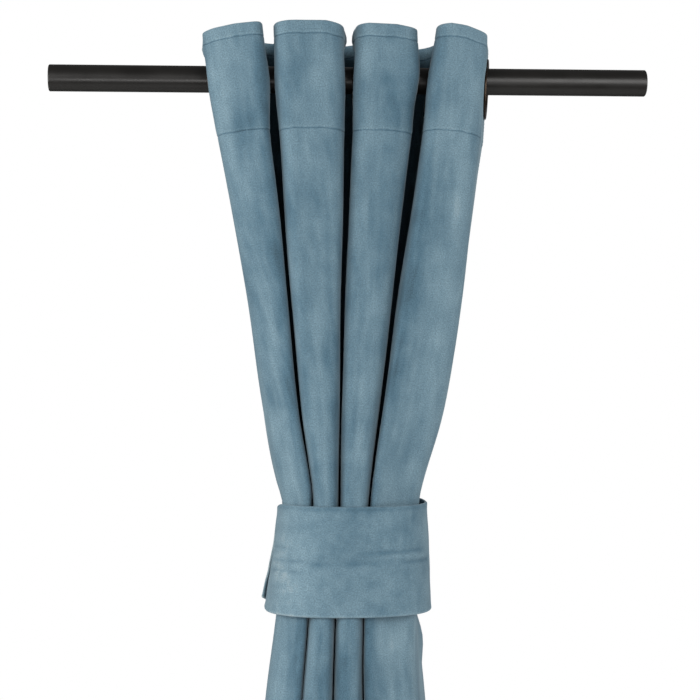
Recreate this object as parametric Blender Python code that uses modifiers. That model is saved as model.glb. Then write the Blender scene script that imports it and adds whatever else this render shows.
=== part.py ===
# Velvet eyelet curtain, gathered by a tieback band and hung on a round rod.
# The frame has +Z up and the rod along X, with the room side towards -Y.
# The origin is the middle of the rod's axis. Tables are in millimetres.

import math
from collections import namedtuple

import bmesh
import bpy
from mathutils import Matrix, Vector

MM = 0.001

# Cut of the panel, before it is hung
CUT_WIDTH = 1170.0
CUT_DROP = 1370.0
CLOTH_THICKNESS = 2.0
CRUMPLED_SHARE = 0.09
HEADING_TOP = 46.0
HEM_HEIGHT = HEADING_TOP - CUT_DROP

# Rod
ROD_DIAMETER = 25.0
ROD_LENGTH = 563.0
ROD_SIDES = 32
ROD_SHARP_ANGLE = 40.0

# Eyelet rings, turned about their own axis
SEAT_GAP = 0.3
RING_BORE_RADIUS = 20.0
RING_BARREL_RADIUS = 21.5
RING_FLANGE_RADIUS = 28.5
RING_HALF_WIDTH = 3.4
RING_GROOVE_HALF = CLOTH_THICKNESS / 2 + SEAT_GAP
RING_EDGE = 1.2
RING_STEPS = 16
RING_HEIGHT = ROD_DIAMETER / 2 + SEAT_GAP - RING_BORE_RADIUS
HOLE_RADIUS = 23.0
HOLE_SIDES = 24
HOLE_CUTTER_LENGTH = 10.0
RING_FLAT = 29.5

# Tieback band
BAND_THICKNESS = 2.4
BAND_COLUMNS = 46
BAND_START = 152.0
BAND_LAP_RISE = 60.0
BAND_DIP = 9.0
BAND_DIP_START = 205.0
BAND_DIP_RUN = 55.0
BAND_LAP_GAP = 0.6
BAND_LAP_OFFSET = BAND_THICKNESS + BAND_LAP_GAP

# Folds
FRONT_CORNER_STEPS = 4
BACK_CORNER_STEPS = 3
OVAL_LIMIT = 0.955
OVAL_POWER = 2.4
RETURN_LENGTH = 11.0
TIED_RETURN_LENGTH = 5.0
RETURN_RISE = 0.25
TIED_FLANK_ROUND = 0.26
TIED_FACE_ROUND = 0.42
TIED_FACE_ROUND_MOST = 13.0
BACK_FACE_ROUND = 0.45
LEAST_REACH = 40.0
MOST_REACH = 160.0
SOLVE_STEPS = 30

# Outer edges of the four front folds at each height. Front is the depth of the gathered oval,
# tied goes from 0 for free pleats to 1 for the gathered bundle, and the leans move the returns.
Section = namedtuple(
    "Section",
    "height left right_1 left_2 right_2 left_3 right_3 left_4 right front tied "
    "left_lean right_lean rows",
)
SECTIONS = [
    Section(HEADING_TOP, -142.0, -82.0, -74.0, -7.0, 2.5, 61.5, 77.0, 131.0, 60.0, 0.00, 0, 0, 1),
    Section(-52.0, -128.8, -75.0, -69.0, -6.0, -1.0, 57.0, 64.0, 125.5, 60.0, 0.00, 0, 0, 2),
    Section(-126.0, -113.8, -66.5, -64.0, -6.7, -4.3, 47.5, 54.0, 116.5, 60.0, 0.15, -4, 0, 2),
    Section(-208.0, -98.6, -59.3, -57.5, -9.9, -8.6, 38.0, 41.0, 106.0, 60.0, 0.38, -10, 0, 3),
    Section(-309.0, -82.4, -49.2, -48.0, -11.8, -10.6, 25.3, 26.6, 89.2, 60.0, 0.75, -12, 0, 2),
    Section(-378.0, -69.5, -38.6, -37.4, -12.7, -11.5, 16.4, 17.6, 68.0, 60.0, 1.00, -8, 0, 1),
    Section(-396.0, -64.4, -37.4, -36.2, -12.8, -11.6, 14.8, 16.0, 64.5, 58.6, 1.00, 0, 0, 2),
    Section(-447.0, -66.6, -38.8, -37.6, -14.2, -13.0, 12.0, 13.2, 63.5, 59.4, 1.00, 0, 2, 2),
    Section(-500.0, -70.0, -41.0, -39.8, -16.4, -15.2, 9.2, 10.4, 62.0, 60.4, 1.00, 0, 8.5, 2),
    Section(-575.0, -80.0, -47.0, -45.8, -18.8, -17.6, 9.0, 10.2, 61.5, 62.0, 0.86, 0, 20, 2),
    Section(-820.0, -108.0, -62.5, -59.5, -22.0, -19.0, 18.0, 22.0, 82.0, 66.0, 0.45, 0, 14, 3),
    Section(HEM_HEIGHT, -150.0, -88.0, -77.0, -17.0, -6.0, 52.0, 65.0, 132.0, 70.0, 0.15, 0, 0, 0),
]

# How far the heading's top edge hangs below its highest folds, from left to right
TopDrop = namedtuple("TopDrop", "x drop")
TOP_DROPS = [
    TopDrop(-141.0, 9.5),
    TopDrop(-129.0, 6.0),
    TopDrop(-108.0, 2.2),
    TopDrop(-86.0, 0.6),
    TopDrop(-72.0, 2.2),
    TopDrop(-58.0, 0.4),
    TopDrop(-25.0, 0.0),
    TopDrop(-7.0, 3.0),
    TopDrop(14.0, 0.8),
    TopDrop(40.0, 1.2),
    TopDrop(60.0, 4.0),
    TopDrop(76.0, 2.0),
    TopDrop(90.0, 0.0),
    TopDrop(104.0, 1.2),
    TopDrop(119.0, 5.2),
    TopDrop(132.0, 9.6),
]

# Depth of each front fold's corners in the heading, and how far its rounding runs along the face
FrontFold = namedtuple("FrontFold", "name left_depth right_depth left_round right_round")
FRONT_FOLDS = [
    FrontFold("front_1", 42.0, 54.0, 22.0, 11.0),
    FrontFold("front_2", 60.0, 57.0, 15.0, 24.0),
    FrontFold("front_3", 53.0, 46.0, 15.0, 26.0),
    FrontFold("front_4", 55.0, 43.0, 14.0, 30.0),
]

# Depth of each back fold as a share of the section's own, and its ends on the gathered oval
BackFold = namedtuple("BackFold", "name depth_share left_share right_share")
BACK_FOLDS = [
    BackFold("left_return", 0.78, None, -0.88),
    BackFold("back_1", 0.84, -0.71, -0.29),
    BackFold("back_2", 0.96, -0.24, 0.21),
    BackFold("back_3", 1.14, 0.26, 0.72),
    BackFold("right_return", 0.80, 0.89, None),
]

# Depth where each flank's edge is given, and its run along X for each step back
Flank = namedtuple("Flank", "name reference slant")
FLANKS = [
    Flank("flank_1", -45.0, 0.20),
    Flank("flank_2", -45.0, -0.13),
    Flank("flank_3", -45.0, 0.12),
    Flank("flank_4", -45.0, -0.12),
    Flank("flank_5", -45.0, 0.13),
    Flank("flank_6", -45.0, -0.10),
    Flank("flank_7", -45.0, 0.13),
    Flank("flank_8", 0.0, 0.17),
]

# Inner face of the tieback band at each height, and the degrees that it laps over its start.
# At its loose end the tail stands off and rises.
BandRow = namedtuple("BandRow", "height left right front back lap tail tail_rise")
BAND_ROWS = [
    BandRow(-396.5, -66.1, 70.2, 59.9, 84.0, 8.0, 0.0, 0.0),
    BandRow(-430.0, -68.8, 71.4, 61.0, 84.0, 13.0, 0.3, 0.0),
    BandRow(-464.0, -73.4, 72.6, 62.2, 84.5, 15.0, 0.6, 2.5),
    BandRow(-497.0, -78.6, 74.0, 63.4, 85.5, 16.0, 1.2, 7.0),
]

Finish = namedtuple("Finish", "name colour roughness metallic")
VELVET = Finish("velvet", (0.135, 0.225, 0.285), 0.85, 0.0)
BAND_VELVET = Finish("band_velvet", (0.125, 0.215, 0.275), 0.85, 0.0)
ROD_FINISH = Finish("rod_black", (0.018, 0.017, 0.017), 0.45, 0.3)
RING_FINISH = Finish("ring_bronze", (0.05, 0.035, 0.028), 0.3, 0.9)


def mix(first, second, share):
    return first + (second - first) * share


def slope_between(column, first, second):
    rise = getattr(SECTIONS[second], column) - getattr(SECTIONS[first], column)
    return rise / (SECTIONS[second].height - SECTIONS[first].height)


def column_slope(column, index):
    # The heading ends at the second section, so no slope crosses it
    before = max(index - 1, 1)
    after = min(index + 1, len(SECTIONS) - 1)
    return slope_between(column, before, after)


def column_at(column, upper, height):
    top = SECTIONS[upper]
    low = SECTIONS[upper + 1]
    span = low.height - top.height
    t = (height - top.height) / span
    start = getattr(top, column)
    end = getattr(low, column)
    if upper == 0:
        return mix(start, end, t)
    leave = column_slope(column, upper) * span
    arrive = column_slope(column, upper + 1) * span
    return (
        (2 * t**3 - 3 * t**2 + 1) * start
        + (t**3 - 2 * t**2 + t) * leave
        + (3 * t**2 - 2 * t**3) * end
        + (t**3 - t**2) * arrive
    )


def section_at(height):
    upper = 0
    while upper < len(SECTIONS) - 2 and height < SECTIONS[upper + 1].height:
        upper += 1
    columns = [column_at(name, upper, height) for name in Section._fields[1:-1]]
    return Section(height, *columns, 0)


def flank_edges(section):
    # Edges of the middle surface, half a thickness inside the outer ones
    outer = section[1:9]
    half = CLOTH_THICKNESS / 2
    return [edge + half if index % 2 == 0 else edge - half for index, edge in enumerate(outer)]


def oval_height(x, left, right):
    share = abs(x - (left + right) / 2) / ((right - left) / 2)
    share = min(share, OVAL_LIMIT)
    return (1 - share**OVAL_POWER) ** (1 / OVAL_POWER)


def front_corner(section, edges, index):
    fold = FRONT_FOLDS[index // 2]
    free_depth = fold.left_depth if index % 2 == 0 else fold.right_depth
    tied_depth = section.front * oval_height(edges[index], edges[0], edges[-1])
    y = -mix(free_depth, tied_depth, section.tied)
    flank = FLANKS[index]
    run = flank.slant * (y - flank.reference) * (1 - section.tied)
    return Vector((edges[index] + run, y))


def back_corner(section, edges, index, reach):
    # Flanks come in pairs about each back fold, with the two returns at the ends
    fold = BACK_FOLDS[(index + 1) // 2]
    share = fold.right_share if index % 2 == 0 else fold.left_share
    centre = (edges[0] + edges[-1]) / 2
    half = (edges[-1] - edges[0]) / 2
    tied_x = centre + share * half
    tied_y = reach * oval_height(tied_x, edges[0], edges[-1])
    y = mix(reach * fold.depth_share, tied_y, section.tied)
    flank = FLANKS[index]
    free_x = edges[index] + flank.slant * (y - flank.reference)
    x = mix(free_x, tied_x, section.tied)
    if index == 0:
        x += section.left_lean
    elif index == len(FLANKS) - 1:
        x += section.right_lean
    return Vector((x, y))


def rounded(corner, before, after, reach_before, reach_after, steps):
    start = corner + (before - corner).normalized() * reach_before
    end = corner + (after - corner).normalized() * reach_after
    points = []
    for step in range(steps + 1):
        t = step / steps
        points.append(start * (1 - t) ** 2 + corner * (2 * t * (1 - t)) + end * t**2)
    return points


def flank_reach(section, corner, length):
    free = abs(corner.y) - RING_FLAT
    return mix(free, TIED_FLANK_ROUND * length, section.tied)


def edge_shift(face_reach, reach, inward_slant):
    # A rounded corner draws the fold's edge in, so its corner stands this much further out
    drawn_in = max(inward_slant, 0.0) * reach
    return face_reach * drawn_in / (face_reach + drawn_in)


def section_points(section, reach):
    edges = flank_edges(section)
    fronts = [front_corner(section, edges, index) for index in range(8)]
    backs = [back_corner(section, edges, index, reach) for index in range(8)]
    return_run = mix(RETURN_LENGTH, TIED_RETURN_LENGTH, section.tied)
    left_tip = backs[0] + Vector((return_run, RETURN_RISE * return_run))
    right_tip = backs[7] + Vector((-return_run, RETURN_RISE * return_run))
    points = [left_tip]
    for index in range(8):
        back = backs[index]
        going_forward = index % 2 == 0
        side = -1 if going_forward else 1
        fold = FRONT_FOLDS[index // 2]
        other_front = fronts[index - side]
        face = (other_front - fronts[index]).length
        free_round = fold.left_round if going_forward else fold.right_round
        tied_round = min(TIED_FACE_ROUND * face, TIED_FACE_ROUND_MOST)
        front_round = mix(free_round, tied_round, section.tied)
        run = fronts[index] - back
        front_reach = flank_reach(section, fronts[index], run.length)
        back_reach = flank_reach(section, back, run.length)
        shift = edge_shift(front_round, front_reach, -side * run.x / run.y) * section.tied
        front = fronts[index] + Vector((side * shift, 0.0))
        if index == 0:
            other_back = left_tip
        elif index == 7:
            other_back = right_tip
        else:
            other_back = backs[index + side]
        back_round = BACK_FACE_ROUND * (other_back - back).length
        if going_forward:
            points += rounded(back, other_back, front, back_round, back_reach, BACK_CORNER_STEPS)
            points += rounded(front, back, other_front, front_reach, front_round, FRONT_CORNER_STEPS)
        else:
            points += rounded(front, other_front, back, front_round, front_reach, FRONT_CORNER_STEPS)
            points += rounded(back, front, other_back, back_reach, back_round, BACK_CORNER_STEPS)
    points.append(right_tip)
    return points


def path_length(points):
    return sum((after - before).length for before, after in zip(points, points[1:]))


def hung_section(height):
    # The cloth keeps its width, so the back folds are as deep as that width needs
    section = section_at(height)
    width = CUT_WIDTH * (1 - CRUMPLED_SHARE * section.tied)
    low = LEAST_REACH
    high = MOST_REACH
    for _ in range(SOLVE_STEPS):
        reach = (low + high) / 2
        if path_length(section_points(section, reach)) < width:
            low = reach
        else:
            high = reach
    return section_points(section, (low + high) / 2)


def drop_at(x):
    for before, after in zip(TOP_DROPS, TOP_DROPS[1:]):
        if x < after.x:
            share = (x - before.x) / (after.x - before.x)
            return mix(before.drop, after.drop, max(share, 0.0))
    return TOP_DROPS[-1].drop


def top_row(rows):
    # The heading is straight from its top edge to its seam, so the edge drops along that line
    rise = SECTIONS[0].height - SECTIONS[1].height
    points = []
    for top, seam in zip(rows[0], rows[SECTIONS[0].rows]):
        share = drop_at(top[0] / MM) / rise
        points.append([mix(high, low, share) for high, low in zip(top, seam)])
    return points


def row_heights():
    heights = []
    for upper, lower in zip(SECTIONS, SECTIONS[1:]):
        for step in range(upper.rows):
            heights.append(mix(upper.height, lower.height, step / upper.rows))
    heights.append(SECTIONS[-1].height)
    return heights


def make_material(finish):
    material = bpy.data.materials.new(finish.name)
    material.use_nodes = True
    shader = material.node_tree.nodes["Principled BSDF"]
    shader.inputs["Base Color"].default_value = (*finish.colour, 1.0)
    shader.inputs["Roughness"].default_value = finish.roughness
    shader.inputs["Metallic"].default_value = finish.metallic
    material.diffuse_color = (*finish.colour, 1.0)
    return material


def add_object(name, mesh, collection, finish=None):
    item = bpy.data.objects.new(name, mesh)
    collection.objects.link(item)
    if finish:
        mesh.materials.append(make_material(finish._replace(name=name + "_" + finish.name)))
    return item


def grid_mesh(name, rows):
    # Rows of points, each the same length, joined into one open sheet
    width = len(rows[0])
    vertices = [point for row in rows for point in row]
    faces = []
    for row in range(len(rows) - 1):
        for column in range(width - 1):
            corner = row * width + column
            faces.append((corner, corner + width, corner + width + 1, corner + 1))
    mesh = bpy.data.meshes.new(name)
    mesh.from_pydata(vertices, [], faces)
    mesh.shade_smooth()
    return mesh


def add_solidify(item, thickness):
    solidify = item.modifiers.new("thickness", "SOLIDIFY")
    solidify.thickness = thickness * MM
    solidify.offset = 0.0
    solidify.use_even_offset = True
    solidify.use_quality_normals = True


def ring_matrix(index):
    # The flank is flat in the heading, so two of its lines give the ring's plane
    flank = FLANKS[index]
    top = flank_edges(SECTIONS[0])[index]
    low = flank_edges(SECTIONS[1])[index]
    rise = SECTIONS[0].height - SECTIONS[1].height
    lean = (top - low) / rise
    x = mix(top, low, (HEADING_TOP - RING_HEIGHT) / rise) - flank.slant * flank.reference
    along = Vector((flank.slant, 1.0, 0.0)).normalized()
    up = Vector((lean, 0.0, 1.0)).normalized()
    axis = along.cross(up).normalized()
    up = axis.cross(along)
    turn = Matrix((along, up, axis)).transposed().to_4x4()
    height = ROD_DIAMETER / 2 + SEAT_GAP - RING_BORE_RADIUS * up.z
    return Matrix.Translation(Vector((x, 0.0, height)) * MM) @ turn


def ring_profile():
    # Closed outline at +X, down the outer side and back up the bore
    upper = [
        (RING_BORE_RADIUS + RING_EDGE, RING_HALF_WIDTH),
        (RING_FLANGE_RADIUS - 2 * RING_EDGE, RING_HALF_WIDTH),
        (RING_FLANGE_RADIUS, RING_GROOVE_HALF + RING_EDGE),
        (RING_FLANGE_RADIUS - RING_EDGE / 2, RING_GROOVE_HALF),
        (RING_BARREL_RADIUS, RING_GROOVE_HALF),
    ]
    lower = [(radius, -height) for radius, height in reversed(upper)]
    # The bore's flats, not its corners, are at the stated radius
    bore = [(RING_BORE_RADIUS / math.cos(math.pi / RING_STEPS), 0.0)]
    return upper + lower + bore


def make_ring(index, collection):
    mesh = bpy.data.meshes.new("ring_profile")
    outline = ring_profile()
    vertices = [(radius * MM, 0.0, height * MM) for radius, height in outline]
    edges = [(i, (i + 1) % len(outline)) for i in range(len(outline))]
    mesh.from_pydata(vertices, edges, [])
    item = add_object(f"eyelet_ring_{index + 1}", mesh, collection, RING_FINISH)
    item.matrix_world = ring_matrix(index)
    screw = item.modifiers.new("turn", "SCREW")
    screw.axis = "Z"
    screw.angle = math.tau
    screw.steps = RING_STEPS
    screw.render_steps = RING_STEPS
    screw.use_merge_vertices = True
    screw.merge_threshold = 0.00001
    screw.use_smooth_shade = True
    return item


def cylinder_mesh(name, radius, length, sides):
    shape = bmesh.new()
    bmesh.ops.create_cone(
        shape,
        cap_ends=True,
        segments=sides,
        radius1=radius * MM,
        radius2=radius * MM,
        depth=length * MM,
    )
    mesh = bpy.data.meshes.new(name)
    shape.to_mesh(mesh)
    shape.free()
    return mesh


def make_hole_cutter(index, collection):
    mesh = cylinder_mesh("hole_cutter", HOLE_RADIUS, HOLE_CUTTER_LENGTH, HOLE_SIDES)
    item = add_object(f"hole_cutter_{index + 1}", mesh, collection)
    item.matrix_world = ring_matrix(index)
    item.hide_render = True
    item.display_type = "WIRE"
    return item


def make_rod(collection):
    mesh = cylinder_mesh("rod", ROD_DIAMETER / 2, ROD_LENGTH, ROD_SIDES)
    mesh.shade_smooth()
    mesh.set_sharp_from_angle(angle=math.radians(ROD_SHARP_ANGLE))
    item = add_object("rod", mesh, collection, ROD_FINISH)
    item.rotation_euler = (0.0, math.pi / 2, 0.0)
    return item


def make_panel(collection, cutters):
    rows = []
    for height in row_heights():
        points = hung_section(height)
        rows.append([(x * MM, y * MM, height * MM) for x, y in points])
    rows[0] = top_row(rows)
    item = add_object("curtain_panel", grid_mesh("curtain_panel", rows), collection, VELVET)
    add_solidify(item, CLOTH_THICKNESS)
    for cutter in cutters:
        hole = item.modifiers.new(cutter.name, "BOOLEAN")
        hole.operation = "DIFFERENCE"
        hole.solver = "EXACT"
        hole.object = cutter
    return item


def smooth_step(value):
    value = min(max(value, 0.0), 1.0)
    return value * value * (3 - 2 * value)


def band_point(row, column):
    # The strip starts behind the left side, a little lower there, runs round the front and
    # laps over its start
    run = 360.0 + row.lap
    angle = BAND_START + run * column / BAND_COLUMNS
    turn = math.radians(angle)
    to_end = BAND_START + run - angle
    lap = smooth_step(1.0 - (to_end - row.lap) / BAND_LAP_RISE)
    loose = max(1.0 - to_end / row.lap, 0.0)
    offset = BAND_THICKNESS / 2 + BAND_LAP_OFFSET * lap + row.tail * loose
    power = 2 / OVAL_POWER
    cos, sin = math.cos(turn), math.sin(turn)
    depth = row.back if sin > 0 else row.front
    half = (row.right - row.left) / 2 + offset
    x = (row.left + row.right) / 2 + half * math.copysign(abs(cos) ** power, cos)
    y = (depth + offset) * math.copysign(abs(sin) ** power, sin)
    dip = BAND_DIP * smooth_step((BAND_DIP_START - angle) / BAND_DIP_RUN)
    return (x * MM, y * MM, (row.height + row.tail_rise * loose - dip) * MM)


def make_band(collection):
    rows = []
    for row in BAND_ROWS:
        rows.append([band_point(row, column) for column in range(BAND_COLUMNS + 1)])
    item = add_object("tieback_band", grid_mesh("tieback_band", rows), collection, BAND_VELVET)
    add_solidify(item, BAND_THICKNESS)
    return item


def main():
    for item in list(bpy.data.objects):
        bpy.data.objects.remove(item)
    parts = bpy.data.collections.new("velvet_curtain")
    cutter_set = bpy.data.collections.new("cutters")
    bpy.context.scene.collection.children.link(parts)
    bpy.context.scene.collection.children.link(cutter_set)
    make_rod(parts)
    cutters = [make_hole_cutter(index, cutter_set) for index in range(len(FLANKS))]
    make_panel(parts, cutters)
    for index in range(len(FLANKS)):
        make_ring(index, parts)
    make_band(parts)


main()
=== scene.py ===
import math
import bmesh
import bpy
import numpy as np
from mathutils import Matrix, Vector, noise


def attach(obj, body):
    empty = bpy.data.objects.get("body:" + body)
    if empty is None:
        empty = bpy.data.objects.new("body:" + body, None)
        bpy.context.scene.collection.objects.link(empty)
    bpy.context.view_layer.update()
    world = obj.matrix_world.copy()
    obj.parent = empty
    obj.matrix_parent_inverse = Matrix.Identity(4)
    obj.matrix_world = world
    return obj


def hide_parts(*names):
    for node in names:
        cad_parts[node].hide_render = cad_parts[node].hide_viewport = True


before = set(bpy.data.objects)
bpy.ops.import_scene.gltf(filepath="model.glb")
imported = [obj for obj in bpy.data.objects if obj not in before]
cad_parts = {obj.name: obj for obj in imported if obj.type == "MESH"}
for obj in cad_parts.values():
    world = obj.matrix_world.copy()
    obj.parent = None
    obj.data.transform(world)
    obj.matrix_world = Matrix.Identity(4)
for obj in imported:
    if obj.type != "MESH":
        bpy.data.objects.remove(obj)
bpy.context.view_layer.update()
mm = 0.001
print("frame loaded:", sorted(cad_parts))


# The panel's cut and its folds, in millimetres, as the frame has them
panel = {
    "cutWidth": 1170.0,
    "cutDrop": 1370.0,
    "headingTop": 46.0,
    "seamHeight": -52.0,
    "topStitchDrop": 12.0,
    "thickness": 2.0,
    "headingThickness": 2.3,
    "crumpledShare": 0.09,
    "hemHeight": 60.0,
    "sideHem": 25.0,
    "ringFlat": 29.5,
    "frontSteps": 9,
    "backSteps": 6,
    "flankParts": 12,
    "frontFaceParts": 5,
    "backFaceParts": 2,
    "returnParts": 3,
    "solveFrontSteps": 4,
    "solveBackSteps": 3,
}
hemLevel = panel["headingTop"] - panel["cutDrop"]
topStitchLevel = panel["headingTop"] - panel["topStitchDrop"]
seamLevels = (topStitchLevel, panel["seamHeight"], hemLevel + panel["hemHeight"])

# height, then the outer edges of the four front folds, the oval's front depth,
# how tightly the folds are gathered, and how far each return leans out
sectionRows = np.array([
    (panel["headingTop"], -142.0, -82.0, -74.0, -7.0, 2.5, 61.5, 77.0, 131.0, 60.0, 0.00, 0, 0),
    (panel["seamHeight"], -128.8, -75.0, -69.0, -6.0, -1.0, 57.0, 64.0, 125.5, 60.0, 0.00, 0, 0),
    (-126.0, -113.8, -66.5, -64.0, -6.7, -4.3, 47.5, 54.0, 116.5, 60.0, 0.15, -4, 0),
    (-208.0, -98.6, -59.3, -57.5, -9.9, -8.6, 38.0, 41.0, 106.0, 60.0, 0.38, -10, 0),
    (-309.0, -82.4, -49.2, -48.0, -11.8, -10.6, 25.3, 26.6, 89.2, 60.0, 0.75, -12, 0),
    (-378.0, -69.5, -38.6, -37.4, -12.7, -11.5, 16.4, 17.6, 68.0, 60.0, 1.00, -8, 0),
    (-396.0, -64.4, -37.4, -36.2, -12.8, -11.6, 14.8, 16.0, 64.5, 58.6, 1.00, 0, 0),
    (-447.0, -66.6, -38.8, -37.6, -14.2, -13.0, 12.0, 13.2, 63.5, 59.4, 1.00, 0, 2),
    (-500.0, -70.0, -41.0, -39.8, -16.4, -15.2, 9.2, 10.4, 62.0, 60.4, 1.00, 0, 8.5),
    (-575.0, -80.0, -47.0, -45.8, -18.8, -17.6, 9.0, 10.2, 61.5, 62.0, 0.86, 0, 20),
    (-820.0, -108.0, -62.5, -59.5, -22.0, -19.0, 18.0, 22.0, 82.0, 66.0, 0.45, 0, 14),
    (hemLevel, -150.0, -88.0, -77.0, -17.0, -6.0, 52.0, 65.0, 132.0, 70.0, 0.15, 0, 0),
])

# place along X and how far the heading's top edge hangs there below its highest folds
topDrops = np.array([
    (-141.0, 9.5), (-129.0, 6.0), (-108.0, 2.2), (-86.0, 0.6), (-72.0, 2.2), (-58.0, 0.4),
    (-25.0, 0.0), (-7.0, 3.0), (14.0, 0.8), (40.0, 1.2), (60.0, 4.0), (76.0, 2.0),
    (90.0, 0.0), (104.0, 1.2), (119.0, 5.2), (132.0, 9.6),
])
dropEnd = -330.0
dropFade = 1.5

# left depth, right depth, left rounding and right rounding of each front fold in the heading
frontFolds = [
    (42.0, 54.0, 22.0, 11.0),
    (60.0, 57.0, 15.0, 24.0),
    (53.0, 46.0, 15.0, 26.0),
    (55.0, 43.0, 14.0, 30.0),
]
# depth share and the two ends on the gathered oval, from the left return to the right one
backFolds = [
    (0.78, None, -0.88),
    (0.84, -0.71, -0.29),
    (0.96, -0.24, 0.21),
    (1.14, 0.26, 0.72),
    (0.80, 0.89, None),
]
# depth where the flank's edge is given, and its run along X for each step back
flanks = [
    (-45.0, 0.20), (-45.0, -0.13), (-45.0, 0.12), (-45.0, -0.12),
    (-45.0, 0.13), (-45.0, -0.10), (-45.0, 0.13), (0.0, 0.17),
]
gather = {
    "ovalLimit": 0.955,
    "ovalPower": 2.4,
    "returnLength": 11.0,
    "tiedReturnLength": 5.0,
    "returnRise": 0.25,
    "flankRound": 0.26,
    "faceRound": 0.42,
    "faceRoundMost": 13.0,
    "backFaceRound": 0.45,
}
# from, to and number of steps of the sheet's rows, closer at edges and seams
rowSpans = [
    (panel["headingTop"], panel["headingTop"] - 1.6, 3),
    (panel["headingTop"] - 1.6, topStitchLevel + 2.4, 2),
    (topStitchLevel + 2.4, topStitchLevel - 2.4, 6),
    (topStitchLevel - 2.4, panel["seamHeight"] + 2.4, 20),
    (panel["seamHeight"] + 2.4, panel["seamHeight"] - 2.4, 6),
    (panel["seamHeight"] - 2.4, -378.0, 44),
    (-378.0, -510.0, 16),
    (-510.0, -700.0, 22),
    (-700.0, hemLevel + panel["hemHeight"] + 3.0, 44),
    (hemLevel + panel["hemHeight"] + 3.0, hemLevel + panel["hemHeight"] - 3.0, 4),
    (hemLevel + panel["hemHeight"] - 3.0, hemLevel + 1.6, 6),
    (hemLevel + 1.6, hemLevel, 3),
]
# Soft troughs (negative) and ridges on the front folds: fold, share across its face from -1 to 1
# at the top and bottom ends, heights of those ends, depth and half width
creases = [
    (0, 0.55, 0.30, -60.0, -385.0, -1.1, 6.0),
    (0, -0.55, -0.45, -200.0, -390.0, -0.8, 5.0),
    (1, 0.45, 0.35, -90.0, -300.0, -0.9, 7.0),
    (1, -0.50, -0.30, -250.0, -392.0, -0.7, 4.0),
    (2, 0.05, 0.15, -150.0, -380.0, 0.8, 6.0),
    (3, -0.62, -0.50, -60.0, -390.0, -0.7, 8.0),
    (3, 0.25, 0.10, -180.0, -390.0, -0.8, 9.0),
    (3, 0.62, 0.55, -100.0, -380.0, 0.9, 7.0),
    (0, 0.10, 0.30, -505.0, -760.0, -1.0, 5.0),
    (1, 0.10, -0.10, -505.0, -700.0, -0.8, 4.0),
    (2, -0.20, -0.10, -505.0, -720.0, -0.8, 4.0),
    (3, -0.35, -0.20, -505.0, -900.0, -1.3, 6.0),
    (3, 0.35, 0.45, -505.0, -800.0, -0.9, 6.0),
]
# Dark and pale patches of the pile, partly brushed nap and partly painted light and shade, such as the pale
# painted light along the first fold's left edge: fold, share across its face from -1 to 1, height, half
# width, half height and strength, with dark patches positive and pale ones negative
napAndShadingPatches = [
    (0, -0.85, -60.0, 7.0, 110.0, -0.30),
    (0, -0.20, -30.0, 9.0, 22.0, 0.08),
    (0, 0.50, -10.0, 16.0, 44.0, 0.22),
    (0, 0.75, -45.0, 10.0, 26.0, 0.14),
    (0, -0.45, -48.0, 12.0, 12.0, 0.16),
    (0, -0.85, -135.0, 12.0, 60.0, 0.24),
    (0, -0.25, -345.0, 13.0, 40.0, -0.34),
    (0, 0.35, -130.0, 9.0, 60.0, 0.22),
    (0, 0.45, -290.0, 9.0, 70.0, 0.22),
    (0, -0.10, -240.0, 8.0, 50.0, -0.14),
    (0, 0.50, -372.0, 9.0, 20.0, 0.10),
    (1, -0.15, 10.0, 16.0, 30.0, 0.20),
    (1, 0.40, -25.0, 8.0, 40.0, -0.14),
    (1, -0.55, -25.0, 9.0, 22.0, 0.20),
    (1, 0.10, -110.0, 9.0, 46.0, 0.16),
    (1, 0.30, -210.0, 10.0, 60.0, -0.16),
    (1, -0.35, -250.0, 7.0, 50.0, 0.16),
    (1, 0.55, -340.0, 7.0, 60.0, 0.18),
    (2, 0.05, -4.0, 9.0, 10.0, 0.34),
    (2, 0.45, -40.0, 12.0, 26.0, 0.20),
    (2, -0.40, -60.0, 9.0, 50.0, -0.12),
    (2, 0.35, -150.0, 8.0, 60.0, 0.18),
    (2, -0.10, -200.0, 8.0, 46.0, 0.16),
    (2, 0.20, -330.0, 8.0, 60.0, 0.02),
    (3, -0.72, -150.0, 10.0, 90.0, 0.22),
    (3, -0.60, -290.0, 9.0, 70.0, 0.16),
    (3, -0.30, -190.0, 8.0, 60.0, 0.16),
    (3, 0.10, -100.0, 12.0, 60.0, 0.10),
    (3, -0.70, 10.0, 9.0, 36.0, 0.20),
    (3, 0.40, -20.0, 12.0, 40.0, -0.16),
    (3, 0.55, -260.0, 9.0, 90.0, -0.14),
    (3, 0.80, -150.0, 6.0, 130.0, -0.16),
    (0, -0.60, -560.0, 9.0, 60.0, -0.22),
    (0, 0.50, -560.0, 8.0, 80.0, 0.42),
    (1, 0.20, -560.0, 9.0, 70.0, 0.34),
    (2, -0.10, -550.0, 8.0, 60.0, 0.30),
    (2, 0.55, -580.0, 6.0, 50.0, 0.22),
    (3, -0.65, -560.0, 8.0, 80.0, 0.38),
    (3, 0.35, -560.0, 12.0, 70.0, -0.20),
    (3, 1.00, -570.0, 2.4, 80.0, -0.34),
    (3, 1.45, -570.0, 8.0, 80.0, 0.30),
]
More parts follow.
